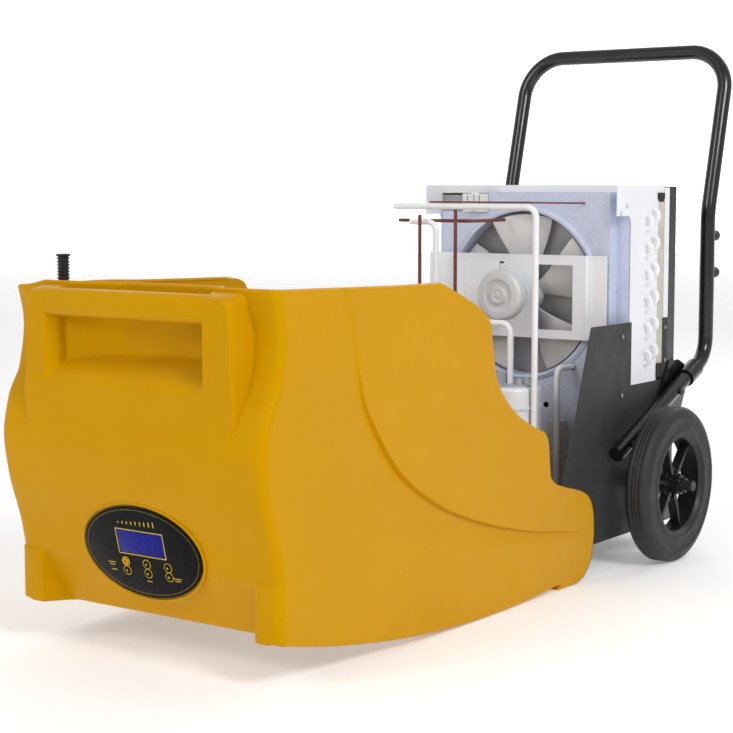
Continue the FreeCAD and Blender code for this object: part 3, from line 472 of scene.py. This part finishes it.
X_AXIS = Vector((1, 0, 0))
Y_AXIS = Vector((0, 1, 0))
Z_AXIS = Vector((0, 0, 1))

# %% [markdown]
# The front shell is one moulded skin. It could be cut from blocks, but its faces flow into each other, so
# it is a grid that is bent to shape: the grid's columns run from the right rear edge round the front to the
# left rear edge, and its rows run from the bottom lip up the wall and over the top lip. First come the
# curves that rule it.

# %% Curves of the shell
def through(points, value):
    """A smooth curve through (position, height) points that never overshoots them."""
    if value <= points[0][0]:
        return points[0][1]
    if value >= points[-1][0]:
        return points[-1][1]
    steps = [(b[0] - a[0], (b[1] - a[1]) / (b[0] - a[0])) for a, b in zip(points, points[1:])]
    index = next(i for i in range(len(steps)) if value <= points[i + 1][0])

    def tangent(knot):
        if knot == 0:
            return steps[0][1]
        if knot == len(steps):
            return steps[-1][1]
        before, after = steps[knot - 1][1], steps[knot][1]
        return 0.0 if before * after <= 0 else 2 * before * after / (before + after)

    width, _ = steps[index]
    t = (value - points[index][0]) / width
    low, high = points[index][1], points[index + 1][1]
    return ((2 * t ** 3 - 3 * t ** 2 + 1) * low + (t ** 3 - 2 * t ** 2 + t) * width * tangent(index)
            + (3 * t ** 2 - 2 * t ** 3) * high + (t ** 3 - t ** 2) * width * tangent(index + 1))


def smoothstep(low, high, value):
    t = min(max((value - low) / (high - low), 0.0), 1.0)
    return t * t * (3 - 2 * t)


def soft_min(a, b, k):
    h = min(max(0.5 + 0.5 * (b - a) / k, 0.0), 1.0)
    return b + (a - b) * h - k * h * (1 - h)


def soft_max(a, b, k):
    return -soft_min(-a, -b, k)


HALF = 266.0
CORNER = 15.0
MASK_FRONT = -1190.0
FOREMOST = -1192.6
WALL_FOOT = 66.0
WALL_HEAD = 580.0
SKIN = 6.0
CREASE_DEPTH = 3.0
# the front wall's Y by height, the rear outline's Y by height, and the side's moulded crease
BELLY = [(66, -1140), (116, -1145), (196, -1160), (276, -1184), (336, -1192.5), (396, -1181), (446, -1156),
         (510, -1146), (580, -1160)]
REAR = [(0, -305), (1, -301), (11, -268), (44, -240), (92, -231), (120, -233), (151, -246), (166, -267),
        (199, -376), (214, -391), (243, -395), (272, -399), (293, -412), (304, -440), (331, -499), (369, -548),
        (406, -574), (457, -586), (496, -593), (515, -612), (572, -743)]
LEFT_TOP = [(-1200, 571), (-1150, 570.5), (-966, 569.5), (-870, 566), (-626, 560.5)]
LEFT_REAR = REAR[:-5] + [(457, -586), (500, -589), (532, -591), (548, -600), (557, -622), (561, -650)]
CREASE = [(20, -100), (88, -247), (127, -462), (169, -624), (214, -744), (284, -856), (361, -922), (406, -949),
          (559, -990), (581, -1000)]


def bottom_edge(y):
    """Underside of the wall: one long arc from the front, a small notch, and the flat the shell stands on."""
    if y < -372:
        radius = 2440.0
        return radius + 1.0 - math.sqrt(radius ** 2 - (y + 580.0) ** 2)
    return through([(-372, 10), (-352, 9), (-325, 1), (-200, 1)], y)


def top_edge(y, side=1):
    """The right wall's top stands a little higher than the left one's, and both fall slowly to the rear."""
    return through([(-1200, 581), (-1160, 580), (-743, 572), (-200, 572)] if side > 0 else LEFT_TOP, y)


# %% [markdown]
# The front is a height field: a base wall that swells and draws in, with things added to it or taken from
# it. A flat mask stands proud at the top, the grab recess is sunk into the mask, pads fill the two bottom
# corners, and an oval seat holds the control panel. Soft minimum and maximum functions join them with the
# small radii that a mould needs.

# %% The front wall
PANEL_TILT = math.radians(13.7)
PANEL_CENTRE = (5.0, -1160.0, 175.0)
PANEL_HALF_WIDTH = 118.0
PANEL_HALF_HEIGHT = 74.0
SEAT_DEPTH = 3.4
RECESS_LEFT = -167.0
RECESS_RIGHT = 155.0
RECESS_DEPTH = 57.0
MASK_CREASE = [(336, 197), (419, 215), (491, 215), (574, 207)]
MASK_TOP = 573.0
PAD_TOP = 155.0
PAD_SIDE = 219.0


def recess_depth(x, z):
    """Depth of the grab recess behind the mask: a chamfered left side, a lipped floor and a folded back."""
    in_from_left = x - RECESS_LEFT
    left = in_from_left * 1.1 if in_from_left < 16 else 17.6 + (in_from_left - 16) * 7
    corner = soft_min((RECESS_RIGHT - x) * 8, (RECESS_RIGHT - x) * 1.0 + (z - 440) * 0.9, 3)
    floor_depth = RECESS_DEPTH * (max(z - 424, 0.0) / 48) ** 2
    back = RECESS_DEPTH if x > -45 else RECESS_DEPTH + (x + 45) * 0.27
    depth = soft_min(soft_min(left, corner, 3), floor_depth, 5)
    return max(soft_min(depth, back, 4), 0.0)


def toe_depth(x, z):
    """Below the corner pads' top the wall between them draws back; the pads themselves drop straight."""
    fall = max(PAD_TOP - z, 0.0)
    base = through(BELLY, z)
    pad = min(base, through(BELLY, PAD_TOP)) if fall else base
    side = max(PAD_SIDE - abs(x), 0.0) * 1.36
    step = 3.0 * smoothstep(0, 3, fall) * smoothstep(2, 0, side)
    return pad - base + max(soft_min(side, 30 * fall / 89 + base - pad, 1.2), 0.0) - step


def front_wall(x, z):
    """Y of the front wall at a place."""
    base = through(BELLY, z)
    proud = soft_max(base - MASK_FRONT, 0.0, 6) * smoothstep(325, 345, z)
    inside = soft_min(through(MASK_CREASE, z) + 1 - abs(x), MASK_TOP - z, 17)
    proud = max(soft_min(proud, inside * 5, 11), 0.0)
    y = base - proud + toe_depth(x, z)
    if z > 420 and RECESS_LEFT < x < RECESS_RIGHT:
        y = max(y, MASK_FRONT + recess_depth(x, z))
    across = x - PANEL_CENTRE[0]
    drop = z - PANEL_CENTRE[2]
    oval = math.hypot(across / PANEL_HALF_WIDTH, drop / (PANEL_HALF_HEIGHT * math.cos(PANEL_TILT)))
    if oval < 1.12:
        seat = PANEL_CENTRE[1] - drop * math.tan(PANEL_TILT) + SEAT_DEPTH
        y += (seat - y) * smoothstep(1.12, 1.03, oval)
    return max(y, FOREMOST)


# %% [markdown]
# The grid's columns and rows lie closest together where the wall turns sharply: at the mask's edges, the
# corners, the crease and the two lips. An even grid fine enough for those places would hold several times
# as many faces. A column knows whether it belongs to a side, a corner or the front, and its points follow
# the curves above.

# %% Columns and rows of the grid
def run(*stops):
    """Evenly spaced values through (value, count to the next) stops."""
    values = []
    for (value, count), (after, _) in zip(stops, stops[1:]):
        values += [value + (after - value) * step / count for step in range(count)]
    return values + [stops[-1][0]]


FRONT_COLUMNS = run((-240, 6), (-222, 12), (-196, 6), (-169, 10), (-147, 16), (-52, 4), (-44, 30), (149, 7),
                    (158, 7), (196, 12), (222, 6), (240, 0))
ROWS = run((0.0, 5), (0.016, 4), (0.03, 23), (0.18, 39), (0.50, 17), (0.66, 12), (0.70, 18), (0.80, 12),
           (0.92, 11), (0.985, 6), (1.0, 0))
FLANGE = (24.0, 15.0, 8.0)
BOTTOM_ROUND = 4.0
TOP_ROUND = 6.0
CORNER_STEPS = 8
SIDE_FRONT_STEPS = 44
SIDE_REAR_STEPS = 40


def column_x(base, z):
    """Columns near the mask's side lean with it, so that its edge follows a line of the grid."""
    lean = through(MASK_CREASE, z) - 210.0
    lean *= smoothstep(158, 200, abs(base)) * smoothstep(240, 222, abs(base))
    return math.copysign(abs(base) + lean, base)


def crease_step(z):
    slope = (through(CREASE, z + 2) - through(CREASE, z - 2)) / 4
    return CREASE_DEPTH * math.sqrt(1 + min(slope * slope, 30.0))


def side_recess(z, distance):
    """The skin in front of the crease is let in a few millimetres, most at mid height, and fades forwards."""
    depth = 1.2 + 6.8 * smoothstep(520, 300, z) * smoothstep(70, 165, z)
    return depth * (1 - smoothstep(0, 190, distance))


def wall_point(kind, side, index, share):
    """A place on the wall and the direction into the shell there."""
    if kind == "front":
        high = WALL_HEAD if index > -200 else WALL_HEAD + (index + 200) * 0.22
        z = WALL_FOOT + (high - WALL_FOOT) * share
        x = column_x(index, z)
        return x, front_wall(x, z), z, (0.0, 1.0)
    y = -1100.0
    for _ in range(10):
        low = bottom_edge(y)
        z = low + (top_edge(y, side) - low) * share
        start = front_wall(HALF - CORNER, z) + CORNER
        if kind == "corner":
            turn = math.pi / 2 * index / CORNER_STEPS
            x = side * (HALF - CORNER + CORNER * math.sin(turn))
            y = start - CORNER * math.cos(turn)
            inward = (-side * math.sin(turn), math.cos(turn))
        else:
            rear = through(REAR if side > 0 else LEFT_REAR, z)
            crease = min(through(CREASE, z), rear - 14)
            before = crease - crease_step(z)
            if index <= SIDE_FRONT_STEPS:
                y = start + (before - start) * index / SIDE_FRONT_STEPS
                x = side * (HALF - side_recess(z, before - y))
            else:
                y = crease + (rear - crease) * (index - SIDE_FRONT_STEPS - 1) / SIDE_REAR_STEPS
                x = side * HALF
            inward = (-side, 0.0)
    return x, y, z, inward


def rounding(radius, distance):
    """How far an edge of this radius draws in at a distance from its end."""
    rest = radius - min(max(distance, 0.0), radius)
    return radius - math.sqrt(radius ** 2 - rest ** 2)


def column(kind, side, index):
    """All the grid points of one column, from the inner end of the bottom flange to the top lip."""
    points = []
    x, y, low, inward = wall_point(kind, side, index, 0.0)
    _, _, high, _ = wall_point(kind, side, index, 1.0)
    for reach in FLANGE:
        reach = reach * 0.4 if kind == "corner" else reach
        points.append((x + inward[0] * reach, y + inward[1] * reach, low))
    for share in ROWS:
        x, y, z, inward = wall_point(kind, side, index, share)
        reach = rounding(BOTTOM_ROUND, z - low) + rounding(TOP_ROUND, high - z)
        points.append((x + inward[0] * reach, y + inward[1] * reach, z))
    return points


places = [("side", 1, step) for step in range(SIDE_FRONT_STEPS + SIDE_REAR_STEPS + 1, -1, -1)]
places += [("corner", 1, step) for step in range(CORNER_STEPS - 1, 0, -1)]
places += [("front", 0, x) for x in reversed(FRONT_COLUMNS)]
places += [("corner", -1, step) for step in range(1, CORNER_STEPS)]
places += [("side", -1, step) for step in range(SIDE_FRONT_STEPS + SIDE_REAR_STEPS + 2)]
columns = [column(*place) for place in places]
print("columns", len(columns), "points in each", len(columns[0]))

# %% [markdown]
# The grid itself is a flat primitive. Its points are moved to the places worked out above, and a Solidify
# modifier then gives the skin its 6 mm. A real moulding has no sharp rim, so the rim's two edges get a
# small round.

# %% Bend the grid into the shell
bpy.ops.mesh.primitive_grid_add(x_subdivisions=len(columns) - 1, y_subdivisions=len(columns[0]) - 1, size=1)
shell = bpy.context.object
shell.name = "front_shell_skin"
row_length = len(columns)
for number, vertex in enumerate(shell.data.vertices):
    vertex.co = at(*columns[number % row_length][number // row_length])
shell.data.update()
bpy.ops.object.mode_set(mode="EDIT")
bpy.ops.mesh.select_all(action="SELECT")
bpy.ops.mesh.normals_make_consistent(inside=False)
bpy.ops.object.mode_set(mode="OBJECT")
nearest = min(shell.data.polygons, key=lambda face: face.center.y)
if nearest.normal.y > 0:
    shell.data.flip_normals()
shell.data.materials.append(yellow_plastic)
shell.data.materials.append(white_plastic)
modify(shell, "SOLIDIFY", thickness=SKIN * MM, offset=-1.0, material_offset_rim=1)
bpy.ops.object.mode_set(mode="EDIT")
bpy.ops.mesh.select_all(action="DESELECT")
bpy.ops.object.mode_set(mode="OBJECT")
for face in shell.data.polygons:
    face.select = face.material_index == 1
bpy.ops.object.mode_set(mode="EDIT")
bpy.context.tool_settings.mesh_select_mode = (False, False, True)
bpy.ops.mesh.region_to_loop()
bpy.ops.mesh.bevel(offset=0.0017, segments=2)
bpy.ops.object.mode_set(mode="OBJECT")
shell.data.polygons.foreach_set("material_index", [0] * len(shell.data.polygons))
print("shell faces", len(shell.data.polygons))

# %% [markdown]
# The grab bar crosses the recess as a separate rounded beam let into both sides of the mask. The moulded
# rim round the panel is an oval ring of round section, half sunk in the wall.

# %% Grab bar and panel rim
grab_bar = block("grab_bar", at(RECESS_LEFT - 16, -1189.9, 527), at(RECESS_RIGHT + 16, -1162, 569.8))
modify(grab_bar, "BEVEL", width=0.011, segments=6, limit_method="ANGLE")

PANEL_TURN = Matrix(((1, 0, 0), (0, -math.sin(PANEL_TILT), -math.cos(PANEL_TILT)),
                     (0, math.cos(PANEL_TILT), -math.sin(PANEL_TILT)))).to_4x4()
PANEL_PLACE = Matrix.Translation(at(*PANEL_CENTRE)) @ PANEL_TURN


def onto_panel(piece):
    """Lay a piece that was drawn flat on the panel's own plane; its Z becomes the way out."""
    piece.matrix_world = PANEL_PLACE @ piece.matrix_world
    return settle(piece)


def oval_ring(name, half_width, half_height, height, thickness):
    bpy.ops.curve.primitive_bezier_circle_add(radius=1.0)
    ring = bpy.context.object
    ring.name = name
    ring.scale = (half_width * MM, half_height * MM, 1.0)
    bpy.ops.object.transform_apply(scale=True)
    ring.data.resolution_u = 24
    ring.data.bevel_depth = thickness * MM
    ring.data.bevel_resolution = 4
    bpy.ops.object.convert(target="MESH")
    ring = bpy.context.object
    ring.location = (0, 0, height * MM)
    return onto_panel(settle(ring))


panel_rim = oval_ring("panel_rim", PANEL_HALF_WIDTH + 4.6, PANEL_HALF_HEIGHT + 4.6, -2.7, 4.0)
shell = merge("front_shell_skin", [shell, grab_bar, panel_rim])
finished(shell, "shell", yellow_plastic, ["front_shell"], angle=40)

# %% [markdown]
# The overlay is a thick oval plate of black film. A fine gold line runs just inside its edge, the display
# window is let into it, and the keys lie in two rows below. Each key is a shallow cap ringed with gold ink,
# except the first, which is all yellow.

# %% Control panel
def panel_disc(name, half_width, half_height, low, high, sides=128):
    bpy.ops.mesh.primitive_cylinder_add(vertices=sides, radius=1.0, depth=1.0)
    disc = bpy.context.object
    disc.name = name
    disc.scale = (half_width * MM, half_height * MM, (high - low) * MM)
    disc.location = (0, 0, (low + high) / 2 * MM)
    return settle(disc)


def panel_block(name, u0, u1, v0, v1, low, high):
    return block(name, Vector((u0, v0, low)) * MM, Vector((u1, v1, high)) * MM)


KEY_RADIUS = 6.0
KEYS = [(u, v) for v in (-19.0, -34.0) for u in (-38.0, 5.0, 48.0)]
WINDOW = (-47.0, 47.0, -5.0, 34.0)
overlay = panel_disc("overlay", PANEL_HALF_WIDTH, PANEL_HALF_HEIGHT, -3.0, -0.2)
soften(overlay, 0.0006, 2)
cut(overlay, panel_block("window_cut", *WINDOW, -1.0, 2.0))
for u, v in KEYS:
    cut(overlay, rod("key_cut", Vector((u, v, -5)) * MM, Vector((u, v, 3)) * MM, (KEY_RADIUS + 0.35) * MM))
finished(onto_panel(overlay), "shell", bezel_film, ["panel_bezel"])

gold_line = oval_ring("overlay_gold_line", PANEL_HALF_WIDTH - 5.5, PANEL_HALF_HEIGHT - 5.5, -0.6, 0.75)
left, right, bottom, top = WINDOW
FRAME_LINE = 1.3
outer_left, outer_right = left - FRAME_LINE, right + FRAME_LINE
frames = [panel_block("frame_top", outer_left, outer_right, top, top + FRAME_LINE, -0.5, 0.1),
          panel_block("frame_bottom", outer_left, outer_right, bottom - FRAME_LINE, bottom, -0.5, 0.1),
          panel_block("frame_left", outer_left, left, bottom, top, -0.5, 0.1),
          panel_block("frame_right", right, outer_right, bottom, top, -0.5, 0.1)]
for u, v in KEYS:
    bpy.ops.mesh.primitive_torus_add(major_radius=0.0072, minor_radius=0.0006, major_segments=40,
                                     minor_segments=8, location=Vector((u, v, -0.3)) * MM)
    frames.append(settle(bpy.context.object))
for u, v, size in ((-68, -24, 14), (-68, -28, 11), (-66, -36, 12), (5, -47, 10), (64, -35, 16), (64, -38.5, 12)):
    frames.append(panel_block("key_mark", u - size / 2, u + size / 2, v - 0.6, v + 0.6, -0.5, 0.0))
SCALE_MARKS = 9
for step in range(SCALE_MARKS):
    frames.append(panel_block("scale_mark", -40 + step * 9, -38.2 + step * 9, 44, 47 + step * 0.7, -0.5, 0.0))
marks = onto_panel(merge("overlay_marks", frames))
gold_line = merge("overlay_gold_line", [gold_line, marks])
finished(gold_line, "shell", gold_ink)

window = panel_block("display_window", *WINDOW, -3.0, -0.5)
soften(window, 0.0004, 2)
finished(onto_panel(window), "shell", blue_window, ["display"])
digits = []
for column_number in range(4):
    left = -30 + column_number * 15.5
    for u0, u1, v0, v1 in ((0, 9, 25.5, 27), (0, 9, 14.2, 15.7), (0, 9, 3, 4.5), (-0.2, 1.2, 5, 14),
                           (8, 9.4, 5, 25)):
        digits.append(panel_block("bar", left + u0, left + u1, v0, v1, -0.55, -0.42))
digit_bars = onto_panel(merge("display_digits", digits))
pale_digit, _ = surface("display_digit", (0.012, 0.015, 0.30), 0.3, variation=0.1, specular=0.15)
finished(digit_bars, "shell", pale_digit)

for number, (u, v) in enumerate(KEYS, start=1):
    low = Vector((u, v, -6.4)) * MM
    cap = rod("key_cap_%d" % number, low, Vector((u, v, 1.3)) * MM, KEY_RADIUS * MM)
    soften(cap, 0.0008, 3)
    mark = rod("key_dot_%d" % number, Vector((u, v, 1.2)) * MM, Vector((u, v, 1.38)) * MM, 0.0016)
    body = "push_button_%d" % number
    finished(onto_panel(cap), body, yellow_plastic if number == 1 else bezel_film,
             ["button_%d" % number])
    finished(onto_panel(mark), body, bezel_film if number == 1 else gold_ink)

# %% [markdown]
# Each tyre is a solid rubber ring. Its profile has a bead that sits on the rim, a broad flat side, a
# rounded shoulder and a tread with three shallow grooves, and spinning that profile about the axle gives
# the whole ring.

# %% Tyres and hub screws
side_profile = [(0, 97), (-24, 97), (-26.3, 100), (-26.3, 106), (-24.8, 108), (-24.8, 127), (-26.3, 129),
                (-25.5, 134), (-21, 145), (-14, 150), (-9, 150), (-8, 148.2), (-6, 148.2), (-5, 150), (-1, 150),
                (0, 148.2)]
tyre_profile = side_profile + [(-along, radius) for along, radius in reversed(side_profile[1:-1])] + [(0, 97)]
tyre_profile = round_corners(tyre_profile, 1.6, 3)
SCREW_COUNT = 3
SCREW_CIRCLE = 15.6
HUB_FACE = 24.2
for hand, side in (("right", 1), ("left", -1)):
    low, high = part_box("tyre_" + hand)
    centre = Vector(((low.x + high.x) / 2, AXLE_Y, AXLE_Z))
    tyre = turned("tyre_ring_" + hand, tyre_profile, centre, X_AXIS, 96)
    finished(tyre, "wheel_" + hand, tyre_rubber, ["tyre_" + hand], angle=45)
    screws = []
    for number in range(SCREW_COUNT):
        angle = math.radians(360 / SCREW_COUNT * number + 20)
        place = centre + Vector((side * HUB_FACE, math.cos(angle) * SCREW_CIRCLE,
                                 math.sin(angle) * SCREW_CIRCLE)) * MM
        screws.append(rod("hub_screw", place - X_AXIS * side * 0.001, place + X_AXIS * side * 0.0018, 0.0024, 6))
    finished(merge("hub_screws_" + hand, screws), "wheel_" + hand, zinc)

# %% [markdown]
# The fan is one moulding of five broad blades on a hub. A blade is a small grid, twisted from root to tip
# and cupped across its width; Solidify makes it 2.4 mm thick, and four turned copies join it round the hub.

# %% Fan
FAN_HEIGHT = 511.0
FAN_CENTRE = at(0, -40, FAN_HEIGHT)
FIRST_BLADE = math.radians(2)
BLADE_COUNT = 5
BLADE_ROOT = 33.0
BLADE_TIP = 157.0
BLADE_THICKNESS = 2.4


def blade_point(across, outward):
    """A place on a blade: across runs 0..1 from leading to trailing edge, outward 0..1 from root to tip."""
    radius = BLADE_ROOT + (BLADE_TIP - BLADE_ROOT) * outward
    spread_angle = math.radians(34 + 14 * math.sin(outward * math.pi * 0.62))
    sweep = math.radians(-6 * outward)
    angle = sweep + (across - 0.5) * spread_angle
    pitch = 13 - 2.5 * outward
    cup = 4 * (1 - (2 * across - 1) ** 2)
    return radius * math.sin(angle), (across - 0.5) * 2 * pitch - cup + 1.5, radius * math.cos(angle)


bpy.ops.mesh.primitive_grid_add(x_subdivisions=12, y_subdivisions=16, size=1)
blade = bpy.context.object
for vertex in blade.data.vertices:
    x, y, z = blade_point(vertex.co.x + 0.5, vertex.co.y + 0.5)
    vertex.co = Vector((x, y, z)) * MM
modify(blade, "SOLIDIFY", thickness=BLADE_THICKNESS * MM, offset=0.0)
soften(blade, 0.0008, 2, 50)
blades = []
for number in range(BLADE_COUNT):
    copy = blade.copy()
    copy.data = blade.data.copy()
    bpy.context.scene.collection.objects.link(copy)
    turn = FIRST_BLADE + math.tau / BLADE_COUNT * number
    copy.matrix_world = Matrix.Translation(FAN_CENTRE) @ Matrix.Rotation(turn, 4, "Y")
    blades.append(settle(copy))
bpy.data.objects.remove(blade)
hub_profile = round_corners([(-16, 7), (-16, 30), (-11, 36), (14, 36), (14, 31), (-8, 31), (-8, 7)], 2.0)
hub = turned("fan_hub", hub_profile + [hub_profile[0]], FAN_CENTRE, Y_AXIS, 48)
finished(merge("fan_wheel", [hub] + blades), "fan", fan_plastic, ["fan_blades"], angle=40)

# %% [markdown]
# The fan motor is a flat can on a short neck, held by the bracket. Its face has a sunk ring round a small
# boss, so it is turned from one profile; the cable gland on top is a small separate post. A closing sheet
# covers the bracket's left window.

# %% Motor
MOTOR_BACK = at(0, -69.5, FAN_HEIGHT)
FORWARD = Vector((0, -1, 0))
motor_profile = round_corners(
    [(0, 0.2), (0, 26), (4, 26), (5, 17), (46, 17), (48, 46), (52, 50), (72, 50), (77, 45), (78.5, 32), (74, 27),
     (73, 19), (79, 17), (80, 13), (78, 7.5), (79.5, 5.5), (80, 0.2)], 2.0, 4)
motor = turned("fan_motor_can", motor_profile, MOTOR_BACK, FORWARD, 72)
gland = soften(rod("cable_gland", at(0, -132, 556), at(0, -132, 573), 0.0055), 0.001, 2)
finished(merge("fan_motor_can", [motor, gland]), "root", motor_paint, ["fan_motor"])
gland_tip = soften(rod("cable_gland_tip", at(0, -132, 572.5), at(0, -132, 577), 0.0042), 0.0008, 2)
finished(gland_tip, "root", soft_rubber)
bracket_low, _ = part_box("motor_bracket")
face_y = (bracket_low.y - AXLE_Y) / MM
closing = soften(block("bracket_closing_sheet", at(-126, face_y - 0.9, 437), at(-42, face_y, 575)), 0.0003, 2)
finished(closing, "root", white_coat)

# %% [markdown]
# The right end plate carries two foam blocks, which seal the filter's slot, and two small access holes near
# its front top corner. The holes are shown as small dished plugs.

# %% End plate details
PLATE_FACE = 220.0
foam = [block("foam", at(PLATE_FACE - 0.2, 94, 697), at(PLATE_FACE + 3, 122, 710)),
        block("foam", at(PLATE_FACE - 0.2, 97, 343), at(PLATE_FACE + 3, 121, 371))]
foam = [soften(piece, 0.0012, 3) for piece in foam]
finished(merge("end_plate_foam", foam), "root", soft_rubber)
plug_profile = [(-0.4, 4.4), (0.7, 4.4), (0.7, 3.4), (-0.2, 3.0), (-0.2, 0.1)]
plugs = []
for y, z in ((-33, 685), (-57, 671)):
    plugs.append(turned("plug", plug_profile, at(PLATE_FACE, y, z), X_AXIS, 24))
finished(merge("end_plate_plugs", plugs), "root", slate_plastic)

# %% [markdown]
# The drain hose is thin corrugated plastic. Its ribs are a repeating profile spun about the hose's upright
# part; the tail that turns away at the bottom is a swept tube.

# %% Drain hose
HOSE = (-229.0, -1085.0)
HOSE_TOP = 616.0
RIBBED_LENGTH = 452.0
RIB_PITCH = 5.2
RIB_COUNT = 86
VALLEY = 8.4
RIDGE = 9.8
rib_profile = [(-RIBBED_LENGTH, 7.4)]
for number in range(RIB_COUNT):
    low_end = number * RIB_PITCH - RIBBED_LENGTH
    rib_profile += [(low_end, 8.2), (low_end + 1.6, VALLEY), (low_end + 2.2, RIDGE), (low_end + 4.2, RIDGE),
                    (low_end + 4.8, VALLEY)]
rib_profile += [(-4, VALLEY), (-3, 11.2), (0, 11.4), (0, 7.4), (-30, 7.0)]
hose = turned("drain_hose_ribs", rib_profile, at(*HOSE, HOSE_TOP), Z_AXIS, 28)
tail_curve = bpy.data.curves.new("tail", "CURVE")
tail_curve.dimensions = "3D"
tail_curve.bevel_depth = VALLEY * MM
tail_curve.bevel_resolution = 4
spline = tail_curve.splines.new("BEZIER")
spline.bezier_points.add(1)
for point, place, handle in zip(spline.bezier_points, (at(*HOSE, 166), at(HOSE[0] + 58, HOSE[1] + 39, 111)),
                                (Vector((0, 0, -0.05)), Vector((0.03, 0.02, -0.006)))):
    point.co = place
    point.handle_left = place - handle
    point.handle_right = place + handle
tail = bpy.data.objects.new("tail", tail_curve)
bpy.context.scene.collection.objects.link(tail)
bpy.ops.object.select_all(action="DESELECT")
tail.select_set(True)
bpy.context.view_layer.objects.active = tail
bpy.ops.object.convert(target="MESH")
hose = merge("drain_hose_ribs", [hose, bpy.context.object])
finished(hose, "shell", hose_plastic, ["drain_hose"])
